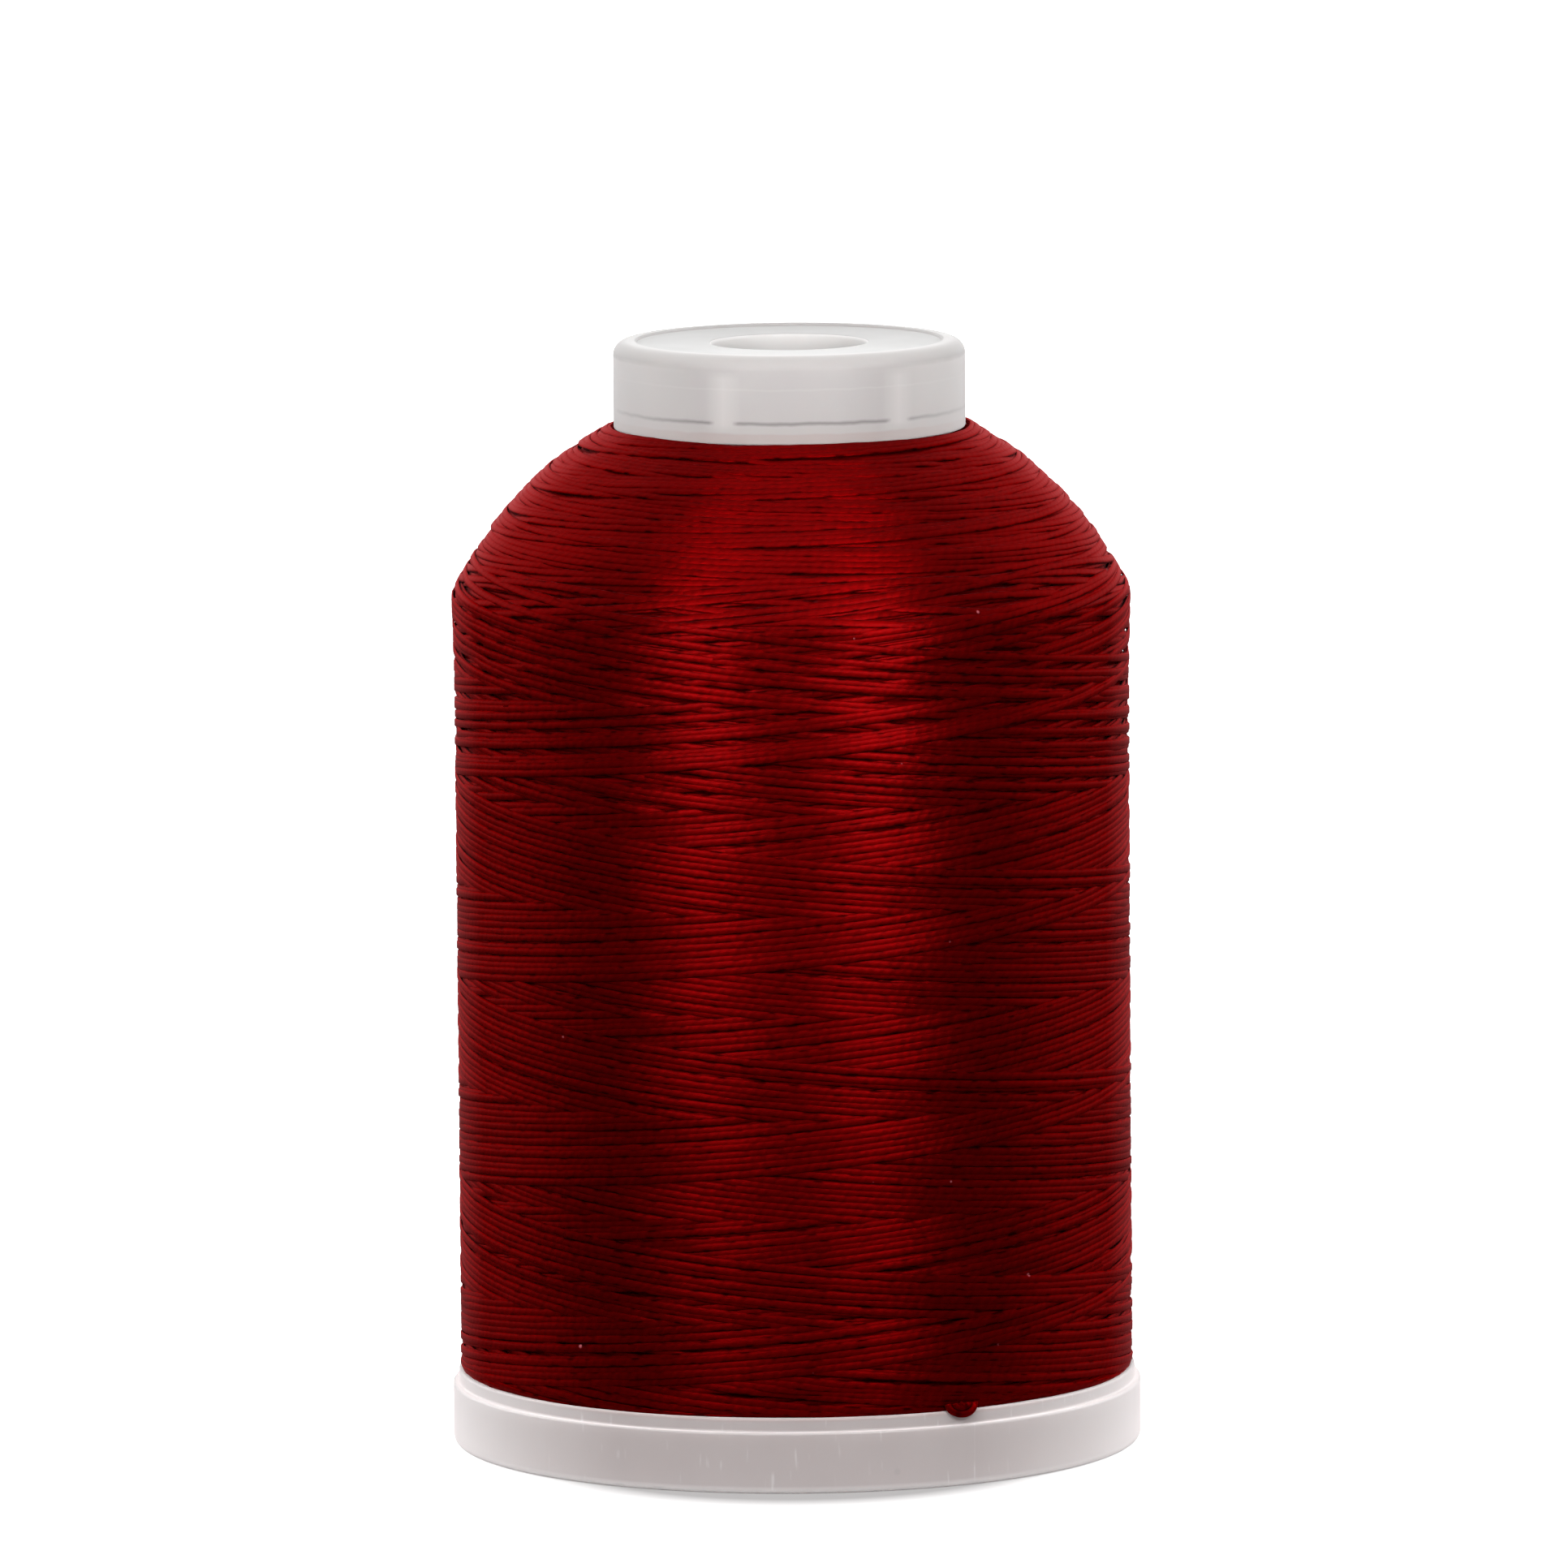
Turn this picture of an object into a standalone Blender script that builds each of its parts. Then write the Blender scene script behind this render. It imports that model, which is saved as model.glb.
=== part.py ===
"""Snap spool of sewing thread: a tube with a flange, a collar, a base that clips on and the wound thread.

Metres, +Z up. The spool stands on its base at z = 0, centred on the Z axis, and -Y is its front.
"""

import math

import bmesh
import bpy
from mathutils import Matrix, Vector

MM = 0.001
STEPS = 60  # flat faces round each turned piece
KEYS = 6  # ribs that key the collar to the tube, and fingers on the base
FIRST_KEY = math.radians(-112.0)  # angle of the first key round the axis, from +X
TAIL_ANGLE = math.radians(-61.5)  # where the thread's start comes out, from +X
GAP = 0.3 * MM  # clearance between pieces that touch on the real spool

# Snap base: a shallow cup with a stepped rim.
BASE_RADIUS = 20.5 * MM
BAND_RADIUS = 20.15 * MM
RIM_INNER_RADIUS = 19.6 * MM
BASE_HEIGHT = 4.45 * MM
LEDGE_HEIGHT = 3.64 * MM
FLOOR_THICKNESS = 1.1 * MM
FOOT_RECESS = 0.35 * MM
FOOT_INNER_RADIUS = 17.2 * MM
FINGER_TOP = 9.2 * MM
FINGER_RADIUS = 7.2 * MM
FINGER_BEAD = 0.25 * MM
FINGER_WALL = 1.2 * MM
FINGER_SLOT_WIDTH = 1.3 * MM
FINGER_SLOT_BOTTOM = FLOOR_THICKNESS + 1.6 * MM
BEAD_HEIGHT = FINGER_TOP - 0.75 * MM  # middle of the fingers' bead
BASE_CORNER = 0.4 * MM
EDGE_ROUND = 0.15 * MM
BASE_TRAVEL = 3.0 * MM  # how far the spool pulls up out of the base

# Tube with its flange.
TUBE_RADIUS = 9.5 * MM
TUBE_BORE_RADIUS = 7.75 * MM
TUBE_BOTTOM = 1.5 * MM
TUBE_TOP = 63.8 * MM
FLANGE_RADIUS = RIM_INNER_RADIUS - GAP
FLANGE_TOP = 4.2 * MM
FLANGE_THICKNESS = 1.15 * MM
FLANGE_RIBS = 8
FLANGE_RIB_WIDTH = 1.0 * MM
DETENT_DEPTH = 0.25 * MM
KEY_NOTCH_WIDTH = 1.5 * MM
TAIL_NICK_WIDTH = 2.0 * MM
TAIL_NICK_DEPTH = 0.9 * MM

# Collar on the tube's upper end.
COLLAR_RADIUS = 10.43 * MM
COLLAR_WALL = 1.05 * MM
COLLAR_BOTTOM = 60.65 * MM
COLLAR_TOP = 65.85 * MM
COLLAR_ROUND = 0.85 * MM
COLLAR_DISC = 1.3 * MM
LIP_HEIGHT = 0.16 * MM
LIP_WIDTH = 0.4 * MM
PIN_HOLE_RADIUS = 4.6 * MM
KEY_WIDTH = 0.9 * MM
NECK_RADIUS = COLLAR_RADIUS - COLLAR_WALL - GAP
SNAP_HEIGHT = 61.9 * MM  # middle of the bead that holds the collar on the tube

# Wound thread.
THREAD_RADIUS = 20.1 * MM
THREAD_SHOULDER = 51.75 * MM  # height where the wound body turns into its dome
DOME_RADIUS = 25.0 * MM  # radius of the dome's outline
THREAD_TOP = 60.95 * MM
THREAD_FOOT_ROUND = 1.2 * MM
THREAD_SHOULDER_ROUND = 1.0 * MM
THREAD_DIAMETER = 0.42 * MM
LOOP_HALF_WIDTH = 0.95 * MM
LOOP_SAG = 0.75 * MM
OVERREACH = 1.0 * MM  # how far a helper sticks out of the piece it cuts


def clear_scene():
    """Remove whatever the scene starts with."""
    for obj in list(bpy.data.objects):
        bpy.data.objects.remove(obj, do_unlink=True)


def make_material(name, color, roughness):
    """Principled material with one colour, for a moulded plastic or for thread."""
    material = bpy.data.materials.new(name)
    material.use_nodes = True
    shader = material.node_tree.nodes["Principled BSDF"]
    shader.inputs["Base Color"].default_value = (*color, 1.0)
    shader.inputs["Roughness"].default_value = roughness
    shader.inputs["Metallic"].default_value = 0.0
    material.diffuse_color = (*color, 1.0)
    return material


def arc(centre_r, centre_z, radius, start, end, steps):
    """Points (r, z) along an arc, angles in degrees from the +r direction."""
    points = []
    for step in range(steps + 1):
        angle = math.radians(start + (end - start) * step / steps)
        points.append((centre_r + radius * math.cos(angle), centre_z + radius * math.sin(angle)))
    return points


def turn(name, outline, material):
    """Solid of revolution about Z from a closed outline of (r, z) points, anticlockwise."""
    mesh = bpy.data.meshes.new(name)
    bm = bmesh.new()
    ring = [bm.verts.new((r, 0.0, z)) for r, z in outline]
    for index, vert in enumerate(ring):
        bm.edges.new((vert, ring[(index + 1) % len(ring)]))
    bmesh.ops.spin(
        bm,
        geom=bm.verts[:] + bm.edges[:],
        cent=(0.0, 0.0, 0.0),
        axis=(0.0, 0.0, 1.0),
        angle=2 * math.pi,
        steps=STEPS,
        use_duplicate=False,
    )
    bmesh.ops.remove_doubles(bm, verts=bm.verts[:], dist=1e-6)
    bmesh.ops.recalc_face_normals(bm, faces=bm.faces[:])
    bm.to_mesh(mesh)
    bm.free()
    mesh.shade_smooth()
    mesh.set_sharp_from_angle(angle=math.radians(35))
    mesh.materials.append(material)
    obj = bpy.data.objects.new(name, mesh)
    bpy.context.scene.collection.objects.link(obj)
    return obj


def radial_bars(name, count, first, inner, outer, width, low, high):
    """Helper of upright bars that stand round the axis, each reaching from inner to outer radius."""
    mesh = bpy.data.meshes.new(name)
    bm = bmesh.new()
    size = Matrix.Diagonal((outer - inner, width, high - low, 1.0))
    place = Matrix.Translation(((inner + outer) / 2, 0.0, (low + high) / 2))
    for index in range(count):
        turned = Matrix.Rotation(first + index * 2 * math.pi / count, 4, "Z")
        bmesh.ops.create_cube(bm, size=1.0, matrix=turned @ place @ size)
    bm.to_mesh(mesh)
    bm.free()
    obj = bpy.data.objects.new(name, mesh)
    obj.display_type = "WIRE"
    obj.hide_render = True
    bpy.context.scene.collection.objects.link(obj)
    return obj


def upright_cylinder(name, radius, low, high):
    """Helper cylinder on the axis."""
    mesh = bpy.data.meshes.new(name)
    bm = bmesh.new()
    bmesh.ops.create_cone(
        bm,
        cap_ends=True,
        segments=STEPS,
        radius1=radius,
        radius2=radius,
        depth=high - low,
        matrix=Matrix.Translation((0.0, 0.0, (low + high) / 2)),
    )
    bm.to_mesh(mesh)
    bm.free()
    obj = bpy.data.objects.new(name, mesh)
    obj.display_type = "WIRE"
    obj.hide_render = True
    bpy.context.scene.collection.objects.link(obj)
    return obj


def combine(obj, helper, operation):
    """Cut the helper from the piece, or weld it on."""
    modifier = obj.modifiers.new(helper.name, "BOOLEAN")
    modifier.operation = operation
    modifier.object = helper


def snap_base(material):
    """Cup that clips under the flange: foot ring, stepped rim, pin hole and six spring fingers."""
    bore = PIN_HOLE_RADIUS + 0.4 * MM
    finger_inner = FINGER_RADIUS - FINGER_WALL
    outline = [
        (bore, FOOT_RECESS),
        (FOOT_INNER_RADIUS - FOOT_RECESS, FOOT_RECESS),
        (FOOT_INNER_RADIUS, 0.0),
    ]
    outline += arc(BASE_RADIUS - BASE_CORNER, BASE_CORNER, BASE_CORNER, -90, 0, 4)
    outline += arc(BASE_RADIUS - EDGE_ROUND, LEDGE_HEIGHT - EDGE_ROUND, EDGE_ROUND, 0, 90, 3)
    outline += [
        (BAND_RADIUS + 0.08 * MM, LEDGE_HEIGHT + 0.02 * MM),
        (BAND_RADIUS, LEDGE_HEIGHT + 0.1 * MM),
    ]
    outline += arc(BAND_RADIUS - EDGE_ROUND, BASE_HEIGHT - EDGE_ROUND, EDGE_ROUND, 0, 90, 3)
    outline += [
        (RIM_INNER_RADIUS, BASE_HEIGHT),
        (RIM_INNER_RADIUS, FLOOR_THICKNESS + 0.3 * MM),
        (RIM_INNER_RADIUS - 0.3 * MM, FLOOR_THICKNESS),
        (FINGER_RADIUS, FLOOR_THICKNESS),
        (FINGER_RADIUS, BEAD_HEIGHT - FINGER_BEAD),
        (FINGER_RADIUS + FINGER_BEAD, BEAD_HEIGHT),
        (FINGER_RADIUS, FINGER_TOP),
        (finger_inner, FINGER_TOP),
        (finger_inner, FLOOR_THICKNESS + 0.6 * MM),
        (bore, FLOOR_THICKNESS),
    ]
    base = turn("snap_base", outline, material)
    slots = radial_bars(
        "finger_slots",
        KEYS,
        FIRST_KEY + math.pi / KEYS,
        finger_inner - OVERREACH,
        FINGER_RADIUS + OVERREACH,
        FINGER_SLOT_WIDTH,
        FINGER_SLOT_BOTTOM,
        FINGER_TOP + OVERREACH,
    )
    combine(base, slots, "DIFFERENCE")
    return base


def spool_tube(material):
    """Hollow tube with the flange that carries the thread, detent grooves below and a neck on top."""
    grooves = []
    for height in (BEAD_HEIGHT, BEAD_HEIGHT - BASE_TRAVEL):
        grooves += [
            (TUBE_BORE_RADIUS, height - 2 * DETENT_DEPTH),
            (TUBE_BORE_RADIUS + DETENT_DEPTH, height),
            (TUBE_BORE_RADIUS, height + 2 * DETENT_DEPTH),
        ][::-1]
    flange_low = FLANGE_TOP - FLANGE_THICKNESS
    shoulder = COLLAR_BOTTOM - GAP
    outline = [
        (TUBE_BORE_RADIUS + 0.4 * MM, TUBE_BOTTOM),
        (TUBE_RADIUS, TUBE_BOTTOM),
        (TUBE_RADIUS, flange_low),
        (FLANGE_RADIUS - 0.3 * MM, flange_low),
        (FLANGE_RADIUS, flange_low + 0.3 * MM),
        (FLANGE_RADIUS, FLANGE_TOP - 0.2 * MM),
        (FLANGE_RADIUS - 0.2 * MM, FLANGE_TOP),
        (TUBE_RADIUS, FLANGE_TOP),
        (TUBE_RADIUS, shoulder),
        (NECK_RADIUS, shoulder),
        (NECK_RADIUS, SNAP_HEIGHT - 0.4 * MM),
        (NECK_RADIUS - 0.3 * MM, SNAP_HEIGHT),
        (NECK_RADIUS, SNAP_HEIGHT + 0.4 * MM),
        (NECK_RADIUS, TUBE_TOP - 0.3 * MM),
        (NECK_RADIUS - 0.3 * MM, TUBE_TOP),
        (TUBE_BORE_RADIUS, TUBE_TOP),
    ]
    outline += grooves
    outline += [(TUBE_BORE_RADIUS, TUBE_BOTTOM + 0.4 * MM)]
    tube = turn("spool_tube", outline, material)
    ribs = radial_bars(
        "flange_ribs",
        FLANGE_RIBS,
        FIRST_KEY,
        TUBE_RADIUS - 0.5 * MM,
        FLANGE_RADIUS - 1.6 * MM,
        FLANGE_RIB_WIDTH,
        TUBE_BOTTOM + 0.3 * MM,
        flange_low + 0.5 * MM,
    )
    combine(tube, ribs, "UNION")
    notches = radial_bars(
        "key_notches",
        KEYS,
        FIRST_KEY,
        TUBE_BORE_RADIUS - OVERREACH,
        NECK_RADIUS + OVERREACH,
        KEY_NOTCH_WIDTH,
        SNAP_HEIGHT - 0.9 * MM,
        TUBE_TOP + OVERREACH,
    )
    combine(tube, notches, "DIFFERENCE")
    nick = radial_bars(
        "tail_nick",
        1,
        TAIL_ANGLE,
        FLANGE_RADIUS - TAIL_NICK_DEPTH,
        FLANGE_RADIUS + OVERREACH,
        TAIL_NICK_WIDTH,
        flange_low - OVERREACH,
        FLANGE_TOP + OVERREACH,
    )
    combine(tube, nick, "DIFFERENCE")
    return tube


def top_collar(material):
    """Cap over the tube's upper end: skirt, annular top with the pin hole, snap bead and six keys."""
    inner = COLLAR_RADIUS - COLLAR_WALL
    face = COLLAR_TOP - LIP_HEIGHT
    underside = face - COLLAR_DISC
    round_centre_r = COLLAR_RADIUS - COLLAR_ROUND
    outline = [
        (inner, COLLAR_BOTTOM),
        (COLLAR_RADIUS - 0.1 * MM, COLLAR_BOTTOM),
        (COLLAR_RADIUS, COLLAR_BOTTOM + 0.1 * MM),
    ]
    outline += arc(round_centre_r, COLLAR_TOP - COLLAR_ROUND, COLLAR_ROUND, 0, 90, 6)
    outline += [
        (round_centre_r - LIP_WIDTH, COLLAR_TOP),
        (round_centre_r - LIP_WIDTH - 0.12 * MM, face),
        (PIN_HOLE_RADIUS + 0.2 * MM, face),
        (PIN_HOLE_RADIUS, face - 0.2 * MM),
        (PIN_HOLE_RADIUS, underside - 0.5 * MM),
        (PIN_HOLE_RADIUS + 0.9 * MM, underside - 0.5 * MM),
        (PIN_HOLE_RADIUS + 0.9 * MM, underside),
        (inner, underside),
        (inner, SNAP_HEIGHT + 0.25 * MM),
        (inner - 0.18 * MM, SNAP_HEIGHT),
        (inner, SNAP_HEIGHT - 0.25 * MM),
    ]
    collar = turn("top_collar", outline, material)
    keys = radial_bars(
        "collar_keys",
        KEYS,
        FIRST_KEY,
        PIN_HOLE_RADIUS + 0.5 * MM,
        inner + 0.4 * MM,
        KEY_WIDTH,
        SNAP_HEIGHT - 0.5 * MM,
        underside + 0.3 * MM,
    )
    combine(collar, keys, "UNION")
    bore = upright_cylinder(
        "key_bore",
        TUBE_BORE_RADIUS - 0.7 * MM,
        SNAP_HEIGHT - 2.0 * MM,
        underside - 0.9 * MM,
    )
    combine(collar, bore, "DIFFERENCE")
    return collar


def dome_outline(start, end, steps):
    """Points (r, z) on the dome: one arc of DOME_RADIUS that bulges out between its two ends."""
    first = Vector(start)
    last = Vector(end)
    chord = last - first
    middle = (first + last) / 2
    inward = Vector((-chord.y, chord.x)).normalized()
    reach = math.sqrt(DOME_RADIUS**2 - (chord.length / 2) ** 2)
    centre = middle + inward * reach
    angle_first = math.degrees(math.atan2(first.y - centre.y, first.x - centre.x))
    angle_last = math.degrees(math.atan2(last.y - centre.y, last.x - centre.x))
    return arc(centre.x, centre.y, DOME_RADIUS, angle_first, angle_last, steps)


def thread_package(material):
    """The wound thread as one solid of its outer shape, round the tube between flange and collar."""
    inner = TUBE_RADIUS + GAP
    low = FLANGE_TOP + GAP
    foot = THREAD_FOOT_ROUND
    shoulder = THREAD_SHOULDER_ROUND
    outline = [(inner, low), (FLANGE_RADIUS + 0.1 * MM, low)]
    outline += arc(THREAD_RADIUS - foot, low + foot, foot, -50, 0, 4)
    outline += arc(THREAD_RADIUS - shoulder, THREAD_SHOULDER - shoulder, shoulder, 0, 30, 3)
    outline += dome_outline(outline[-1], (COLLAR_RADIUS + GAP, THREAD_TOP), 8)[1:]
    outline += [
        (COLLAR_RADIUS + GAP, COLLAR_BOTTOM - GAP),
        (inner, COLLAR_BOTTOM - GAP),
    ]
    return turn("thread_package", outline, material)


def thread_start_loop(material):
    """Short loop of the thread's start, pinched between the package and the rim of the base."""
    turned = Matrix.Rotation(TAIL_ANGLE, 4, "Z")
    curve = bpy.data.curves.new("thread_start_loop", "CURVE")
    curve.dimensions = "3D"
    curve.bevel_depth = THREAD_DIAMETER / 2
    curve.bevel_resolution = 2
    curve.use_fill_caps = True
    spline = curve.splines.new("POLY")
    steps = 10
    spline.points.add(steps)
    for step in range(steps + 1):
        turn_angle = math.pi * step / steps
        sag = math.sin(turn_angle)
        across = -LOOP_HALF_WIDTH * math.cos(turn_angle)
        radius = BAND_RADIUS + (0.02 + 0.25 * sag) * MM
        height = BASE_HEIGHT + 0.5 * MM - LOOP_SAG * sag
        point = turned @ Vector((radius, across, height))
        spline.points[step].co = (*point, 1.0)
    curve.materials.append(material)
    obj = bpy.data.objects.new("thread_start_loop", curve)
    bpy.context.scene.collection.objects.link(obj)
    return obj


def main():
    clear_scene()
    base_plastic = make_material("white_plastic", (0.72, 0.70, 0.69), 0.42)
    collar_plastic = make_material("frosted_plastic", (0.78, 0.77, 0.75), 0.38)
    thread = make_material("red_thread", (0.32, 0.002, 0.006), 0.5)
    lifted = bpy.data.objects.new("spool_slide_axis", None)
    bpy.context.scene.collection.objects.link(lifted)
    snap_base(base_plastic)
    for piece in (
        spool_tube(base_plastic),
        top_collar(collar_plastic),
        thread_package(thread),
        thread_start_loop(thread),
    ):
        piece.parent = lifted


main()
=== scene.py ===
import math

import bpy
import numpy as np
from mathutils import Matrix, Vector


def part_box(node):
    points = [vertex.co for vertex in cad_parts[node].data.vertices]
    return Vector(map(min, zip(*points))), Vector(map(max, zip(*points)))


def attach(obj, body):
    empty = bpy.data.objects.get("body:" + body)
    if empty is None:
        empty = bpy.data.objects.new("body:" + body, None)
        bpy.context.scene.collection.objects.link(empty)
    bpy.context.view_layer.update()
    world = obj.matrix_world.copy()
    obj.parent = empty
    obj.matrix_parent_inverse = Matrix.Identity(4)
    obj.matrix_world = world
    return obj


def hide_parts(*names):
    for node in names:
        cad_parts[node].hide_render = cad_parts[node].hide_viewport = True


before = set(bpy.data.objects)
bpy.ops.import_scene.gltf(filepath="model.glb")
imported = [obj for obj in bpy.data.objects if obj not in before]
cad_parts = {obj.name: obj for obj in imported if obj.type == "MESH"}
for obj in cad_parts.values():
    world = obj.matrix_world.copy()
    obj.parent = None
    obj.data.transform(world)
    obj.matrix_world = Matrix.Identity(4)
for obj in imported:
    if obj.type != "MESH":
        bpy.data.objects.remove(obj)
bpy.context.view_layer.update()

mm = 0.001
rng = np.random.default_rng(11)

# Places taken from the frame: lowest and highest corner of each part.
baseLow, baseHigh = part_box("snap_base")
tubeLow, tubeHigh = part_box("spool_tube")
collarLow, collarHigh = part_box("top_collar")
packLow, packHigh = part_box("thread_package")


def addNode(tree, kind, **settings):
    # A new node in a material, world or group, with some of its properties set.
    node = tree.nodes.new(kind)
    for key, value in settings.items():
        setattr(node, key, value)
    return node


def feed(tree, value, socket):
    # Fills a socket: a number as it is, a tuple as a colour, another node's socket by a link.
    if isinstance(value, (int, float)):
        socket.default_value = value
    elif isinstance(value, tuple):
        socket.default_value = (*value, 1.0)
    else:
        tree.links.new(value, socket)


def mathNode(tree, operation, *values, clamp=False):
    node = addNode(tree, "ShaderNodeMath", operation=operation, use_clamp=clamp)
    for index, value in enumerate(values):
        feed(tree, value, node.inputs[index])
    return node.outputs[0]


def rise(tree, value, start, width):
    # 0 up to start, then up to 1 over width: (value - start) / width, kept between 0 and 1. With a
    # width below zero it falls from 1 to 0 instead, and reaches 0 at start.
    return mathNode(tree, "DIVIDE", mathNode(tree, "SUBTRACT", value, start), width, clamp=True)


def vectorNode(tree, *values):
    node = addNode(tree, "ShaderNodeCombineXYZ")
    for index, value in enumerate(values):
        feed(tree, value, node.inputs[index])
    return node.outputs[0]


def lengthNode(tree, vector):
    node = addNode(tree, "ShaderNodeVectorMath", operation="LENGTH")
    tree.links.new(vector, node.inputs[0])
    return node.outputs["Value"]


def objectPlace(tree):
    # The place on the piece in metres: the vector, and its x, y and z.
    place = addNode(tree, "ShaderNodeTexCoord").outputs["Object"]
    split = addNode(tree, "ShaderNodeSeparateXYZ")
    tree.links.new(place, split.inputs[0])
    return place, *split.outputs


def mixColour(tree, factor, first, second):
    node = addNode(tree, "ShaderNodeMix", data_type="RGBA")
    for index, value in ((0, factor), (6, first), (7, second)):
        feed(tree, value, node.inputs[index])
    return node.outputs[2]


def rampNode(tree, source, stops):
    # Colour ramp with grey stops given as (place, value).
    node = addNode(tree, "ShaderNodeValToRGB")
    tree.links.new(source, node.inputs[0])
    ramp = node.color_ramp
    ramp.elements[0].position, ramp.elements[1].position = stops[0][0], stops[-1][0]
    for place, _ in stops[1:-1]:
        ramp.elements.new(place)
    for element, (_, value) in zip(ramp.elements, stops):
        element.color = (value, value, value, 1.0)
    return node.outputs[0]


def newGroup(name, inputs, outputs):
    # Empty shader node group with its sockets; inputs are (name, kind, default).
    group = bpy.data.node_groups.new(name, "ShaderNodeTree")
    for label, kind, default in inputs:
        socket = group.interface.new_socket(name=label, in_out="INPUT", socket_type=kind)
        if default is not None:
            socket.default_value = default
    for label, kind in outputs:
        group.interface.new_socket(name=label, in_out="OUTPUT", socket_type=kind)
    return group, group.nodes.new("NodeGroupInput"), group.nodes.new("NodeGroupOutput")


def placeGroup(tree, group, links):
    # Puts a group into a material and fills its inputs with values or links.
    node = addNode(tree, "ShaderNodeGroup", node_tree=group)
    for label, value in links.items():
        feed(tree, value, node.inputs[label])
    return node


def noiseNode(tree, vector, scale, detail=2.0, roughness=0.5):
    # Cloudy noise between 0 and 1; scale is in cells per metre of the vector.
    node = addNode(tree, "ShaderNodeTexNoise")
    node.inputs["Scale"].default_value = scale
    node.inputs["Detail"].default_value = detail
    node.inputs["Roughness"].default_value = roughness
    tree.links.new(vector, node.inputs["Vector"])
    return node.outputs["Fac"]


def makeLintGroup():
    # Tiny pale specks of lint: a small round spot inside a few of the cells of a fine cell pattern.
    group, start, end = newGroup(
        "lintSpecks",
        [("Vector", "NodeSocketVector", None), ("Cells per metre", "NodeSocketFloat", 900.0),
         ("Share", "NodeSocketFloat", 0.04)],
        [("Mask", "NodeSocketFloat")])
    cells = addNode(group, "ShaderNodeTexVoronoi", feature="F1")
    group.links.new(start.outputs["Vector"], cells.inputs["Vector"])
    group.links.new(start.outputs["Cells per metre"], cells.inputs["Scale"])
    split = addNode(group, "ShaderNodeSeparateColor")
    group.links.new(cells.outputs["Color"], split.inputs[0])
    chosen = mathNode(group, "LESS_THAN", split.outputs[0], start.outputs["Share"])
    size = mathNode(group, "MULTIPLY_ADD", split.outputs[1], 0.1, 0.06)
    near = mathNode(group, "SUBTRACT", size, cells.outputs["Distance"])
    soft = mathNode(group, "MULTIPLY", near, 14.0, clamp=True)
    group.links.new(mathNode(group, "MULTIPLY", soft, chosen), end.inputs["Mask"])
    return group


def makeMouldGroup():
    # Moulded plastic: slow cloudiness, fine pores, and faint upright scratches on the side walls.
    group, start, end = newGroup(
        "mouldedSurface",
        [("Vector", "NodeSocketVector", None), ("Scratch", "NodeSocketFloat", 1.0)],
        [("Cloud", "NodeSocketFloat"), ("Scratches", "NodeSocketFloat"),
         ("Height", "NodeSocketFloat")])
    vector = start.outputs["Vector"]
    cloud = noiseNode(group, vector, 260.0, 3.0, 0.55)
    pores = noiseNode(group, vector, 5200.0, 2.0, 0.6)
    stretched = addNode(group, "ShaderNodeMapping")
    stretched.inputs["Scale"].default_value = (1.0, 1.0, 0.09)
    group.links.new(vector, stretched.inputs["Vector"])
    lines = noiseNode(group, stretched.outputs[0], 3600.0, 1.0, 0.4)
    patches = noiseNode(group, vector, 700.0, 1.0, 0.5)
    patched = mathNode(group, "MULTIPLY", rise(group, lines, 0.66, 1 / 9),
                       rise(group, patches, 0.5, 1 / 6))
    scratches = mathNode(group, "MULTIPLY", patched, start.outputs["Scratch"])
    height = mathNode(group, "MULTIPLY_ADD", scratches, 1.5, pores)
    group.links.new(cloud, end.inputs["Cloud"])
    group.links.new(scratches, end.inputs["Scratches"])
    group.links.new(height, end.inputs["Height"])
    return group


def makePlyGroup():
    # Two-ply twist over the strand's own UV map (U along in metres, V around, 0.25 outermost):
    # slanting ridges, fine filaments, and short dashes on the flanks, where the plies of
    # neighbouring strands don't meet; the dashes mark where painted shadow goes in those gaps.
    group, start, end = newGroup(
        "plyTwist",
        [("UV", "NodeSocketVector", None), ("Twist length", "NodeSocketFloat", 0.0013)],
        [("Ridge", "NodeSocketFloat"), ("Filament", "NodeSocketFloat"),
         ("Gap shade", "NodeSocketFloat"), ("Flank", "NodeSocketFloat")])
    split = addNode(group, "ShaderNodeSeparateXYZ")
    group.links.new(start.outputs["UV"], split.inputs[0])
    along, around = split.outputs[0], split.outputs[1]
    twists = mathNode(group, "DIVIDE", along, start.outputs["Twist length"])
    phase = mathNode(group, "ADD", twists, around)
    wave = mathNode(group, "SINE", mathNode(group, "MULTIPLY", phase, 4.0 * math.pi))
    ridge = mathNode(group, "MULTIPLY_ADD", wave, 0.5, 0.5)
    place = vectorNode(group, mathNode(group, "MULTIPLY", along, 2400.0),
                       mathNode(group, "MULTIPLY", phase, 7.0))
    filament = noiseNode(group, place, 1.0, 3.0, 0.65)
    across = mathNode(group, "COSINE", mathNode(group, "MULTIPLY", around, 2.0 * math.pi))
    flank = rise(group, mathNode(group, "ABSOLUTE", across), 0.2, 1 / 2.4)
    side = mathNode(group, "SIGN", across)
    lane = vectorNode(group, mathNode(group, "MULTIPLY", along, 850.0),
                      mathNode(group, "MULTIPLY", side, 31.0))
    spots = rise(group, noiseNode(group, lane, 1.0, 1.0, 0.5), 0.505, 1 / 9)
    group.links.new(ridge, end.inputs["Ridge"])
    group.links.new(filament, end.inputs["Filament"])
    group.links.new(mathNode(group, "MULTIPLY", spots, flank), end.inputs["Gap shade"])
    group.links.new(flank, end.inputs["Flank"])
    return group


lintGroup = makeLintGroup()
mouldGroup = makeMouldGroup()
plyGroup = makePlyGroup()


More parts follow.
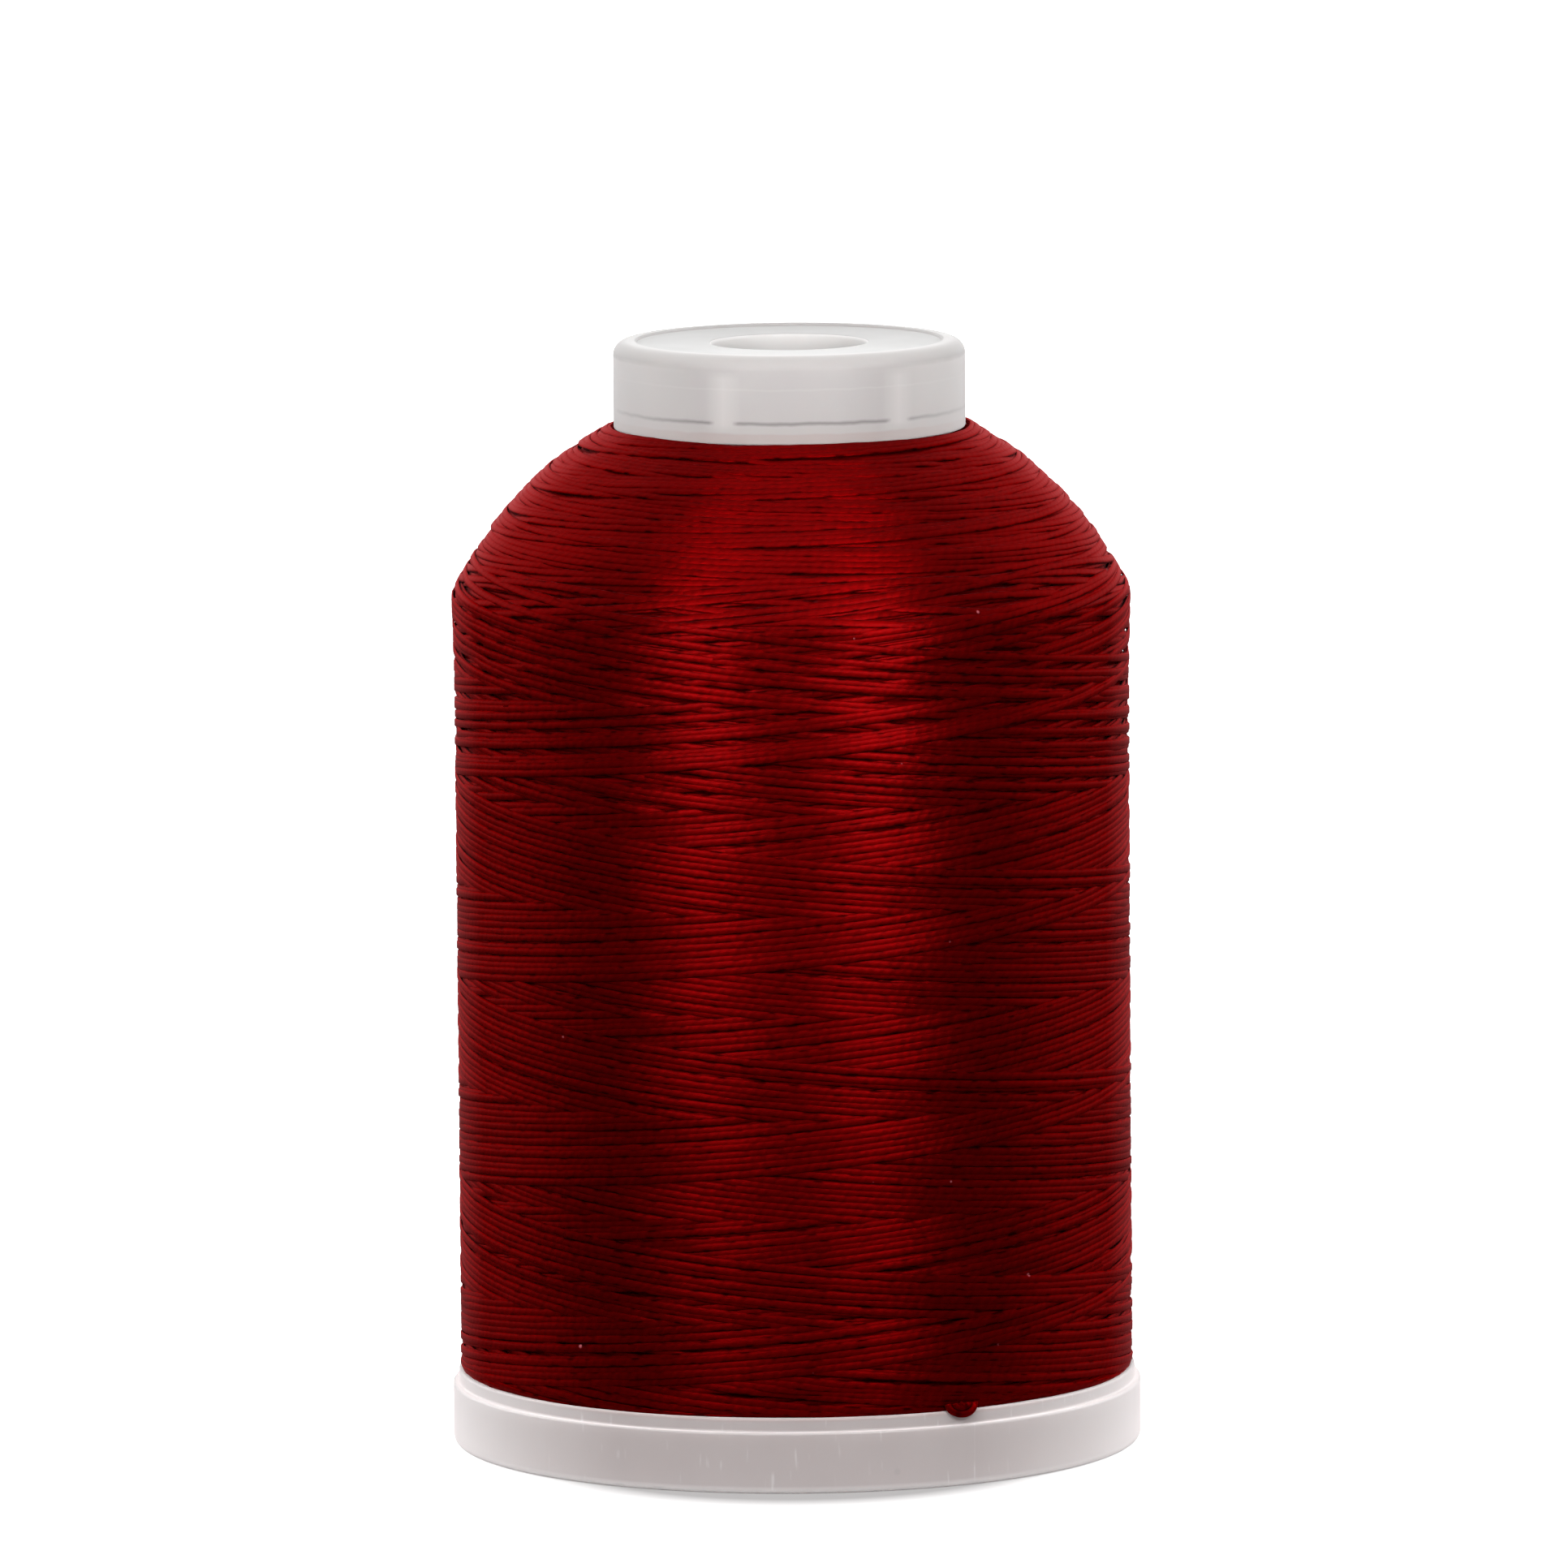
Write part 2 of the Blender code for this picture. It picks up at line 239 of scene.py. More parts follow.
def newMaterial(name, roughness, **shaderValues):
    # A material with its shader's uniform values set on the shader's own sockets.
    material = bpy.data.materials.new(name)
    material.use_nodes = True
    shader = material.node_tree.nodes["Principled BSDF"]
    shader.inputs["Roughness"].default_value = roughness
    for label, value in shaderValues.items():
        shader.inputs[label].default_value = value
    return material, material.node_tree, shader


def bumpInto(tree, shader, height, strength, distance):
    # Surface relief from a height, without changing the mesh.
    bump = addNode(tree, "ShaderNodeBump")
    bump.inputs["Strength"].default_value = strength
    bump.inputs["Distance"].default_value = distance
    tree.links.new(height, bump.inputs["Height"])
    tree.links.new(bump.outputs[0], shader.inputs["Normal"])


# Thread colours: dark and lit are blended by random tone and by painted ply shade and glints; gap is the
# near-black of the painted shadow in the dashes, flankShade the painted shade on the flanks, and rim the
# pale colour of the painted sheen at a low angle.
threadLook = dict(
    dark=(0.065, 0.0001, 0.0003), lit=(0.152, 0.0004, 0.0007), gap=(0.004, 0.0, 0.0001),
    lint=(0.5, 0.12, 0.14), rim=(0.36, 0.15, 0.155),
    ridge=0.2, filament=0.9, cloud=0.22, tone=0.3, flankShade=0.05, dashShade=0.8,
    domeStart=47.5, domeSlope=1.6, rimStart=0.63, rimWidth=0.28, rimStrength=0.8,
    coat=0.12, relief=0.22, reliefDepth=0.05)


def threadMaterial(name):
    # Lustrous deep red thread; reads the strand's UV map and its "tone" attribute.
    look = threadLook
    material, tree, shader = newMaterial(
        name, 0.42, **{"Metallic": 0.8, "Anisotropic": 0.75, "Anisotropic Rotation": 0.25,
                      "Sheen Weight": 0.02, "Sheen Roughness": 0.3,
                      "Sheen Tint": (1.0, 0.25, 0.28, 1.0),
                      "Coat IOR": 1.15, "Coat Roughness": 0.35,
                      "Specular IOR Level": 0.0, "Specular Tint": (1.0, 0.02, 0.03, 1.0)})
    uv = addNode(tree, "ShaderNodeUVMap", uv_map="strand")
    ply = placeGroup(tree, plyGroup, {"UV": uv.outputs[0]})
    place, x, y, z = objectPlace(tree)
    tone = addNode(tree, "ShaderNodeAttribute", attribute_name="tone")
    cloud = noiseNode(tree, place, 420.0, 3.0, 0.6)
    # Painted light and real tone together: the ply ridges paint lighter crests and darker valleys, the
    # filament noise paints small glints, and cloud and tone are the thread's own random tone.
    level = mathNode(tree, "MULTIPLY_ADD", ply.outputs["Ridge"], look["ridge"], -look["ridge"])
    level = mathNode(tree, "MULTIPLY_ADD", ply.outputs["Filament"], look["filament"], level)
    level = mathNode(tree, "MULTIPLY_ADD", cloud, look["cloud"], level)
    level = mathNode(tree, "MULTIPLY_ADD", tone.outputs["Fac"], look["tone"], level, clamp=True)
    colour = mixColour(tree, level, look["dark"], look["lit"])
    # Painted shade: the strand's flanks are darkened a little toward the dark colour.
    flank = mathNode(tree, "MULTIPLY", ply.outputs["Flank"], look["flankShade"])
    colour = mixColour(tree, flank, colour, look["dark"])
    # Painted shadow: the dashes on the flanks are darkened to the near-black gap colour, for the shade
    # down in the gaps between strands.
    dash = mathNode(tree, "MULTIPLY", ply.outputs["Gap shade"], look["dashShade"])
    colour = mixColour(tree, dash, colour, look["gap"])
    lint = placeGroup(tree, lintGroup, {"Vector": place, "Share": 0.01, "Cells per metre": 1100.0})
    colour = mixColour(tree, lint.outputs["Mask"], colour, look["lint"])
    # Painted sheen: the package's wall is painted paler where it is seen at a low angle, streaked
    # along the filaments; the wall's normal is (x, y, domeSlope times max(z - domeStart, 0)).
    above = mathNode(tree, "SUBTRACT", z, look["domeStart"] * mm)
    above = mathNode(tree, "MAXIMUM", above, 0.0)
    wall = vectorNode(tree, x, y, mathNode(tree, "MULTIPLY", above, look["domeSlope"]))
    unit = addNode(tree, "ShaderNodeVectorMath", operation="NORMALIZE")
    tree.links.new(wall, unit.inputs[0])
    facing = addNode(tree, "ShaderNodeLayerWeight")
    facing.inputs["Blend"].default_value = 0.5
    tree.links.new(unit.outputs[0], facing.inputs["Normal"])
    rim = rise(tree, facing.outputs["Facing"], look["rimStart"], look["rimWidth"])
    rim = mathNode(tree, "POWER", rim, 1.2)
    sheenStreaks = mathNode(tree, "MULTIPLY_ADD", ply.outputs["Filament"], 0.8, 0.4)
    rim = mathNode(tree, "MULTIPLY", rim, sheenStreaks)
    rim = mathNode(tree, "MULTIPLY", rim, look["rimStrength"], clamp=True)
    colour = mixColour(tree, rim, colour, look["rim"])
    tree.links.new(colour, shader.inputs["Base Color"])
    top = mathNode(tree, "SUBTRACT", 1.0, ply.outputs["Flank"], clamp=True)
    tree.links.new(mathNode(tree, "MULTIPLY", top, look["coat"]), shader.inputs["Coat Weight"])
    rough = mathNode(tree, "MULTIPLY_ADD", ply.outputs["Filament"], 0.16, 0.39)
    tree.links.new(rough, shader.inputs["Roughness"])
    plies = mathNode(tree, "MULTIPLY", ply.outputs["Ridge"], 0.6)
    height = mathNode(tree, "ADD", ply.outputs["Filament"], plies)
    bumpInto(tree, shader, height, look["relief"], look["reliefDepth"] * mm)
    tangent = addNode(tree, "ShaderNodeTangent", direction_type="UV_MAP", uv_map="strand")
    tree.links.new(tangent.outputs[0], shader.inputs["Tangent"])
    return material


def meshObject(name, places, quads, uv=None, tone=None):
    # Mesh from an array of places (n, 3) and quads (m, 4); uv is per corner, tone per vertex.
    mesh = bpy.data.meshes.new(name)
    mesh.vertices.add(len(places))
    mesh.vertices.foreach_set("co", np.asarray(places, np.float32).ravel())
    mesh.loops.add(quads.size)
    mesh.loops.foreach_set("vertex_index", np.asarray(quads, np.int32).ravel())
    mesh.polygons.add(len(quads))
    mesh.polygons.foreach_set("loop_start", np.arange(0, quads.size, 4, dtype=np.int32))
    mesh.update(calc_edges=True)
    if uv is not None:
        layer = mesh.uv_layers.new(name="strand")
        layer.data.foreach_set("uv", np.asarray(uv, np.float32).ravel())
    if tone is not None:
        attribute = mesh.attributes.new("tone", "FLOAT", "POINT")
        attribute.data.foreach_set("value", np.asarray(tone, np.float32))
    piece = bpy.data.objects.new(name, mesh)
    bpy.context.scene.collection.objects.link(piece)
    return piece


def arcPoints(centreR, centreZ, radius, start, end, steps):
    # Points (r, z) on an arc: centre plus radius times (cos, sin), angles in degrees from +r.
    angles = np.radians(np.linspace(start, end, steps + 1))
    return np.stack((centreR + radius * np.cos(angles), centreZ + radius * np.sin(angles)), axis=1)


def columnAngles(count, centres, halfWidth):
    # Angles round the axis: an even fan, plus close pairs at both sides of every feature.
    even = np.linspace(0.0, 2 * math.pi, count, endpoint=False)
    step = math.radians(0.12)
    extra = [c + side * halfWidth + d for c in centres for side in (-1, 1) for d in (-step, step)]
    return np.unique(np.round(np.mod(np.concatenate((even, extra)), 2 * math.pi), 6))


def nearFeature(angles, centres, halfWidth):
    # 1 within halfWidth of a feature's angle and 0 elsewhere; the gap is taken the short way round.
    apart = angles[:, None] - np.asarray(centres)[None, :]
    gap = np.abs((apart + math.pi) % (2 * math.pi) - math.pi)
    return (gap.min(axis=1) < halfWidth).astype(float)


def turned(name, outline, angles, material, moveR=None, moveZ=None, sharp=38.0):
    # Closed outline of (r, z) carried round the Z axis: place = ((r + moveR) cos a, (r + moveR) sin a,
    # z + moveZ), where moveR and moveZ may change with the outline's point and the angle.
    outline = np.asarray(outline)
    rows, columns = len(outline), len(angles)
    r = np.repeat(outline[:, :1], columns, axis=1)
    z = np.repeat(outline[:, 1:], columns, axis=1)
    if moveR is not None:
        r = r + moveR
    if moveZ is not None:
        z = z + moveZ
    places = np.stack((r * np.cos(angles), r * np.sin(angles), z), axis=2).reshape(-1, 3)
    i, j = np.meshgrid(np.arange(rows), np.arange(columns), indexing="ij")
    nextI, nextJ = (i + 1) % rows, (j + 1) % columns
    quads = np.stack((i * columns + j, i * columns + nextJ, nextI * columns + nextJ,
                      nextI * columns + j), axis=2).reshape(-1, 4)
    piece = meshObject(name, places, quads)
    piece.data.shade_smooth()
    piece.data.set_sharp_from_angle(angle=math.radians(sharp))
    piece.data.materials.append(material)
    return piece


def finishPiece(piece, body, slot, *nodes):
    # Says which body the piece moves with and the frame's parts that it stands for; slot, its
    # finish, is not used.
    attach(piece, body)
    if nodes:
        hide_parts(*nodes)
    print(f"{piece.name}: {len(piece.data.vertices)} vertices")
    return piece


# The snap base, in mm: a stepped cup with six spring fingers. "pale" is how much paler its walls
# are painted where they are seen at a low angle, a painted sheen.
snapBase = dict(
    bandInset=0.35, rimWidth=0.55, ledge=0.81, corner=0.4, edge=0.15, floor=1.1,
    recess=0.35, footInner=17.2, bore=5.0, fingerRadius=7.2, fingerWall=1.2, fingerTop=9.2,
    fingerBead=0.25, slots=6, firstSlot=-82.0, slotWidth=1.3, slotBottom=2.7,
    colour=(0.54, 0.484, 0.48), shade=(0.497, 0.441, 0.437), sheen=1.0, pale=1.0, columns=320)


def whitePlasticMaterial(name, look, paintedBands=()):
    # Satin moulded plastic; the bands, (height, half width, strength, colour), are soft rings of
    # painted light and shade.
    material, tree, shader = newMaterial(
        name, 0.45, **{"Specular IOR Level": 0.6, "Subsurface Weight": 0.4,
                      "Sheen Weight": look["sheen"], "Sheen Roughness": 0.5,
                      "Sheen Tint": (1.0, 0.92, 0.92, 1.0),
                      "Subsurface Radius": (2.4 * mm, 2.1 * mm, 2.0 * mm),
                      "Subsurface Scale": 1.0})
    place, x, y, z = objectPlace(tree)
    mould = placeGroup(tree, mouldGroup, {"Vector": place, "Scratch": 1.0})
    colour = mixColour(tree, mould.outputs["Cloud"], look["shade"], look["colour"])
    colour = mixColour(tree, mathNode(tree, "MULTIPLY", mould.outputs["Scratches"], 0.35), colour,
                       (0.86, 0.84, 0.84))
    # Painted light and shade: each band mixes the colour toward its own in a soft ring.
    for height, halfWidth, strength, tint in paintedBands:
        gap = mathNode(tree, "ABSOLUTE", mathNode(tree, "SUBTRACT", z, height * mm))
        mask = rise(tree, gap, halfWidth * mm, -halfWidth * mm)
        colour = mixColour(tree, mathNode(tree, "MULTIPLY", mask, strength), colour, tint)
    lint = placeGroup(tree, lintGroup, {"Vector": place, "Share": 0.035, "Cells per metre": 520.0})
    colour = mixColour(tree, mathNode(tree, "MULTIPLY", lint.outputs["Mask"], 0.35), colour,
                       (0.4, 0.36, 0.36))
    # Painted sheen: the walls are painted paler where they are seen at a low angle, by the amount in
    # pale.
    facing = addNode(tree, "ShaderNodeLayerWeight")
    pale = rise(tree, facing.outputs["Facing"], 0.15, 0.625)
    pale = mathNode(tree, "MULTIPLY", pale, look["pale"])
    colour = mixColour(tree, pale, colour, (0.98, 0.91, 0.9))
    tree.links.new(colour, shader.inputs["Base Color"])
    rough = mathNode(tree, "MULTIPLY_ADD", mould.outputs["Cloud"], 0.18, 0.3)
    tree.links.new(rough, shader.inputs["Roughness"])
    bumpInto(tree, shader, mould.outputs["Height"], 0.12, 0.02 * mm)
    return material


def makeBase():
    # The base's outline, walked from the pin hole outwards, up over the rim and back over the
    # fingers; columns in a slot press the finger's points down to the slot's bottom.
    look = snapBase
    outer = baseHigh.x / mm
    rimTop = rimTopHeight()
    band = outer - look["bandInset"]
    rimInner = band - look["rimWidth"]
    ledge = rimTop - look["ledge"]
    edge, floor, finger = look["edge"], look["floor"], look["fingerRadius"]
    beadHeight = look["fingerTop"] - 0.75
    outline = np.concatenate((
        [(look["bore"], look["recess"]), (look["footInner"] - look["recess"], look["recess"]),
         (look["footInner"], 0.0)],
        arcPoints(outer - look["corner"], look["corner"], look["corner"], -90, 0, 12),
        arcPoints(outer - edge, ledge - edge, edge, 0, 90, 8),
        arcPoints(band + 0.12, ledge + 0.12, 0.12, 270, 180, 5),
        arcPoints(band - edge, rimTop - edge, edge, 0, 90, 8),
        arcPoints(rimInner + 0.1, rimTop - 0.1, 0.1, 90, 180, 5),
        arcPoints(rimInner - 0.3, floor + 0.3, 0.3, 0, -90, 6),
        [(finger + 0.3, floor), (finger, floor + 0.3), (finger, look["slotBottom"]),
         (finger, beadHeight - look["fingerBead"]), (finger + look["fingerBead"], beadHeight),
         (finger, look["fingerTop"]), (finger - look["fingerWall"], look["fingerTop"]),
         (finger - look["fingerWall"], look["slotBottom"]),
         (finger - look["fingerWall"], floor + 0.6), (look["bore"], floor)])) * mm
    centres = np.radians(look["firstSlot"] + 360.0 / look["slots"] * np.arange(look["slots"]))
    half = look["slotWidth"] / 2 / (finger - look["fingerWall"] / 2)
    angles = columnAngles(look["columns"], centres, half)
    inSlot = nearFeature(angles, centres, half)
    z = outline[:, 1:] / mm
    isFinger = (outline[:, :1] / mm < finger + 0.29) & (z > look["slotBottom"])
    moveZ = -np.where(isFinger, z - look["slotBottom"], 0.0) * inSlot[None, :] * mm
    # The rings are painted light and shade: a faint painted highlight on the ledge, painted light on the
    # shaded bottom corner, and painted shade tinted by the red thread at the top of the rim.
    material = whitePlasticMaterial(
        "basePlastic", look,
        paintedBands=((ledge - 0.02, 0.1, 0.05, (0.9, 0.85, 0.85)), (0.12, 0.36, 1.0, (0.86, 0.8, 0.79)),
               (rimTop + 0.1, 0.4, 0.5, (0.55, 0.30, 0.28))))
    piece = turned("base_moulding", outline, angles, material, moveZ=moveZ)
    return finishPiece(piece, "base", "white_plastic", "snap_base")


def rimTopHeight():
    # Height of the base's rim in mm: the package's underside stands one clearance above it.
    return packLow.z / mm - 0.05


# The tube with its flange, in mm.
spoolTube = dict(
    bore=7.75, outer=9.5, flangeTop=4.2, flangeThick=1.15, shoulder=60.35, neck=9.08,
    snapHeight=61.9, groove=0.3, notches=6, firstNotch=-112.0, notchWidth=1.5, notchBottom=61.0,
    nickAngle=-61.5, nickWidth=2.0, nickDepth=0.9, detent=0.25, detents=(8.45, 5.45),
    colour=(0.66, 0.64, 0.63), shade=(0.56, 0.54, 0.53), sheen=0.1, pale=0.0,
    columns=256)


def makeTube():
    # The tube's outline, walked up the outside and down the bore; columns in a notch press the
    # top down, and columns in the nick press the flange's rim in.
    look = spoolTube
    low, high = tubeLow.z / mm, tubeHigh.z / mm
    rim = tubeHigh.x / mm
    flangeLow = look["flangeTop"] - look["flangeThick"]
    neck, bore, snap = look["neck"], look["bore"], look["snapHeight"]
    detents = [(bore + d, h + s * look["detent"] * 2)
               for h in look["detents"] for s, d in ((1, 0.0), (0, look["detent"]), (-1, 0.0))]
    outline = np.concatenate((
        [(bore + 0.4, low), (look["outer"], low), (look["outer"], flangeLow)],
        arcPoints(rim - 0.3, flangeLow + 0.3, 0.3, -90, 0, 5),
        arcPoints(rim - 0.2, look["flangeTop"] - 0.2, 0.2, 0, 90, 5),
        [(look["outer"], look["flangeTop"]), (look["outer"], look["shoulder"]),
         (neck, look["shoulder"]), (neck, snap - 0.4), (neck - look["groove"], snap),
         (neck, snap + 0.4), (neck, high - 0.3), (neck - 0.3, high), (bore, high)],
        detents,
        [(bore, low + 0.4)])) * mm
    notches = np.radians(look["firstNotch"] + 360.0 / look["notches"] * np.arange(look["notches"]))
    halfNotch = look["notchWidth"] / 2 / neck
    halfNick = look["nickWidth"] / 2 / rim
    nick = [math.radians(look["nickAngle"])]
    angles = np.unique(np.concatenate((columnAngles(look["columns"], notches, halfNotch),
                                       columnAngles(8, nick, halfNick))))
    inNotch, inNick = nearFeature(angles, notches, halfNotch), nearFeature(angles, nick, halfNick)
    z = outline[:, 1:] / mm
    moveZ = -np.where(z > look["notchBottom"], z - look["notchBottom"], 0.0) * inNotch[None, :] * mm
    onRim = outline[:, :1] / mm > rim - look["nickDepth"]
    pastNick = outline[:, :1] / mm - rim + look["nickDepth"]
    moveR = -np.where(onRim, pastNick, 0.0) * inNick[None, :] * mm
    material = whitePlasticMaterial("tubePlastic", look)
    piece = turned("tube_moulding", outline, angles, material, moveR=moveR, moveZ=moveZ)
    return finishPiece(piece, "spool", "white_plastic", "spool_tube")


# The frosted collar, in mm; snapHeight and lineHeight are rings that show through its wall, painted
# on it as a line of shade and a faint line of light.
topCollar = dict(
    wall=1.05, rounding=0.85, disc=1.3, lipHeight=0.16, lipWidth=0.4, hole=4.6, holeWall=0.9,
    keys=6, firstKey=-112.0, keyWidth=0.9, keyDepth=1.7, snapHeight=61.9, lineHeight=63.9,
    colour=(0.375, 0.355, 0.348), shade=(0.344, 0.328, 0.325), columns=320)


def makeCollar():
    # The collar's outline, walked up the outside, over the lip to the hole and down the inside;
    # columns on a key press the inner wall in.
    look = topCollar
    low, high, outer = collarLow.z / mm, collarHigh.z / mm, collarHigh.x / mm
    inner = outer - look["wall"]
    face = high - look["lipHeight"]
    under = face - look["disc"]
    rounding, hole, snap = look["rounding"], look["hole"], look["snapHeight"]
    lip = outer - rounding - look["lipWidth"]
    outline = np.concatenate((
        [(inner, low)],
        arcPoints(outer - 0.12, low + 0.12, 0.12, -90, 0, 4),
        arcPoints(outer - rounding, high - rounding, rounding, 0, 90, 16),
        arcPoints(lip, high - 0.06, 0.06, 90, 160, 3),
        arcPoints(lip - 0.2, face + 0.08, 0.08, 0, -90, 3),
        arcPoints(hole + 0.2, face - 0.2, 0.2, 90, 180, 6),
        [(hole, under - 0.5), (hole + look["holeWall"], under - 0.5), (hole + look["holeWall"], under),
         (inner, under), (inner, snap + 0.25), (inner - 0.18, snap), (inner, snap - 0.25)])) * mm
    keys = np.radians(look["firstKey"] + 360.0 / look["keys"] * np.arange(look["keys"]))
    half = look["keyWidth"] / 2 / inner
    angles = columnAngles(look["columns"], keys, half)
    onKey = nearFeature(angles, keys, half)
    r, z = outline[:, :1] / mm, outline[:, 1:] / mm
    isInner = (np.abs(r - inner) < 0.2) & (z > snap - 0.1) & (z < under + 0.01)
    moveR = -np.where(isInner, look["keyDepth"], 0.0) * onKey[None, :] * mm
    material = collarMaterial(look, keys)
    piece = turned("collar_moulding", outline, angles, material, moveR=moveR)
    return finishPiece(piece, "spool", "frosted_plastic", "top_collar")


def collarMaterial(look, keys):
    # Frosted plastic: what stands close behind the wall is painted on it as soft lines and bands of
    # light and shade.
    material, tree, shader = newMaterial(
        "collarPlastic", 0.42, **{"Specular IOR Level": 0.2, "Subsurface Weight": 0.3,
                                  "Sheen Weight": 0.35, "Sheen Roughness": 0.5,
                                  "Subsurface Radius": (1.6 * mm, 1.3 * mm, 1.25 * mm),
                                  "Subsurface Scale": 1.0})
    place, x, y, z = objectPlace(tree)
    mould = placeGroup(tree, mouldGroup, {"Vector": place, "Scratch": 0.35})
    colour = mixColour(tree, mould.outputs["Cloud"], look["shade"], look["colour"])
    turnAngle = mathNode(tree, "ARCTAN2", y, x)
    spacing = 2 * math.pi / look["keys"]
    shifted = mathNode(tree, "SUBTRACT", turnAngle, float(keys[0]) - spacing / 2)
    wrapped = mathNode(tree, "FLOORED_MODULO", shifted, spacing)
    fromKey = mathNode(tree, "ABSOLUTE", mathNode(tree, "SUBTRACT", wrapped, spacing / 2))
    wobble = noiseNode(tree, place, 900.0, 2.0, 0.5)
    height = mathNode(tree, "DIVIDE", z, mm)
    height = mathNode(tree, "MULTIPLY_ADD", wobble, 0.16, mathNode(tree, "SUBTRACT", height, 0.08))

    # Masks over the height in mm: a soft ring, and all that is between two heights.
    def ring(at, halfWidth):
        gap = mathNode(tree, "ABSOLUTE", mathNode(tree, "SUBTRACT", height, at))
        return rise(tree, gap, halfWidth, -halfWidth)

    def inBand(low, high, soft):
        return mathNode(tree, "MULTIPLY", rise(tree, height, low, soft), rise(tree, height, high, -soft))

    # Painted light: lighter upright bands at the keys behind the wall, 61.3 to 65 mm up.
    keyGlow = mathNode(tree, "MULTIPLY", rise(tree, fromKey, 0.11, -0.11), inBand(61.3, 65.0, 0.5))
    colour = mixColour(tree, mathNode(tree, "MULTIPLY", keyGlow, 0.16), colour, (0.75, 0.72, 0.71))
    # Painted shadow: a dark line at the snap ring, between the keys, for the shade in the gap behind the
    # wall.
    betweenKeys = rise(tree, fromKey, 0.05, 0.04)
    dark = mathNode(tree, "MULTIPLY", ring(look["snapHeight"], 0.17), betweenKeys)
    colour = mixColour(tree, mathNode(tree, "MULTIPLY", dark, 0.75), colour, (0.13, 0.122, 0.122))
    # Painted shade: a darker, warm, mottled band low on the wall, for the shade inside the skirt and the
    # red thread's light in it.
    under = mathNode(tree, "MULTIPLY", inBand(60.3, 61.35, 0.12), 0.6)
    mottled = mixColour(tree, mould.outputs["Scratches"], (0.33, 0.27, 0.255), (0.2, 0.165, 0.155))
    colour = mixColour(tree, under, colour, mottled)
    # Painted light: a faint light line at lineHeight, where the disc's underside stands behind the wall.
    colour = mixColour(tree, mathNode(tree, "MULTIPLY", ring(look["lineHeight"], 0.09), 0.04), colour,
                       (0.9, 0.88, 0.87))
    # Painted sheen: the wall from 59 to 65.2 mm up is painted paler where it is seen at a low angle.
    facing = addNode(tree, "ShaderNodeLayerWeight")
    pale = rise(tree, facing.outputs["Facing"], 0.15, 1 / 1.5)
    pale = mathNode(tree, "MULTIPLY", pale, inBand(59.0, 65.2, 0.3))
    colour = mixColour(tree, mathNode(tree, "MULTIPLY", pale, 0.5), colour, (0.95, 0.92, 0.91))
    # Painted shade: the flat face inside the lip is darkened the lower it is seen, by about a third at
    # the most, to hold back the bright surroundings behind it; it is not a sheen.
    fromAxis = lengthNode(tree, vectorNode(tree, x, y))
    onFace = rise(tree, fromAxis, 9.3 * mm, -0.5 * mm)
    onFace = mathNode(tree, "MULTIPLY", onFace, inBand(65.2, 67.0, 0.2))
    lowAngle = mathNode(tree, "MULTIPLY", facing.outputs["Facing"], 1.12, clamp=True)
    onFace = mathNode(tree, "MULTIPLY", onFace, lowAngle)
    colour = mixColour(tree, mathNode(tree, "MULTIPLY", onFace, 0.95), colour, (0.245, 0.24, 0.236))
    # Painted light: the pin hole's bore is painted lighter, for light that comes into its shade through
    # the frosted wall.
    inHole = mathNode(tree, "LESS_THAN", fromAxis, (look["hole"] + 0.1) * mm)
    colour = mixColour(tree, inHole, colour, (0.58, 0.566, 0.558))
    tree.links.new(colour, shader.inputs["Base Color"])
    rough = mathNode(tree, "MULTIPLY_ADD", mould.outputs["Cloud"], 0.2, 0.32)
    tree.links.new(rough, shader.inputs["Roughness"])
    bumpInto(tree, shader, mould.outputs["Height"], 0.1, 0.02 * mm)
    return material


# The wound thread, in mm: the strand's size, the package's outline, how far its crests stand from
# that outline, and the grid that the winding is worked out on. A double stroke goes up and down
# once, at pitch mm for each turn; spacing is how far each one falls behind the last.
winding = dict(
    halfWidth=0.24, halfHeight=0.066, restWidth=0.15, sides=6, pieceTriangles=190000,
    footRound=0.8, footDrop=0.4, shoulderRound=1.0, shoulder=51.75, domeRadius=25.0,
    crest=-0.11, crestLimit=0.0, bulge=0.1, domeCrest=0.16, evenAround=8.0, evenAlong=6.0,
    grain=0.06, turnCells=720, spareCells=8, tensionSteps=90, joinCells=40, coreInset=0.45)
bodyWind = dict(pitch=11.7, spacing=0.385, doubles=66, turnSoft=0.5, wander=0.04, segments=116,
                low=0.6, pastShoulder=0.9, ends=(-1.0, 2.2), newestTop=math.pi)
domeWind = dict(pitch=3.6, spacing=0.36, doubles=34, turnSoft=0.4, wander=0.04, segments=96,
                pastShoulder=-1.5, ends=(-0.25, 0.0))


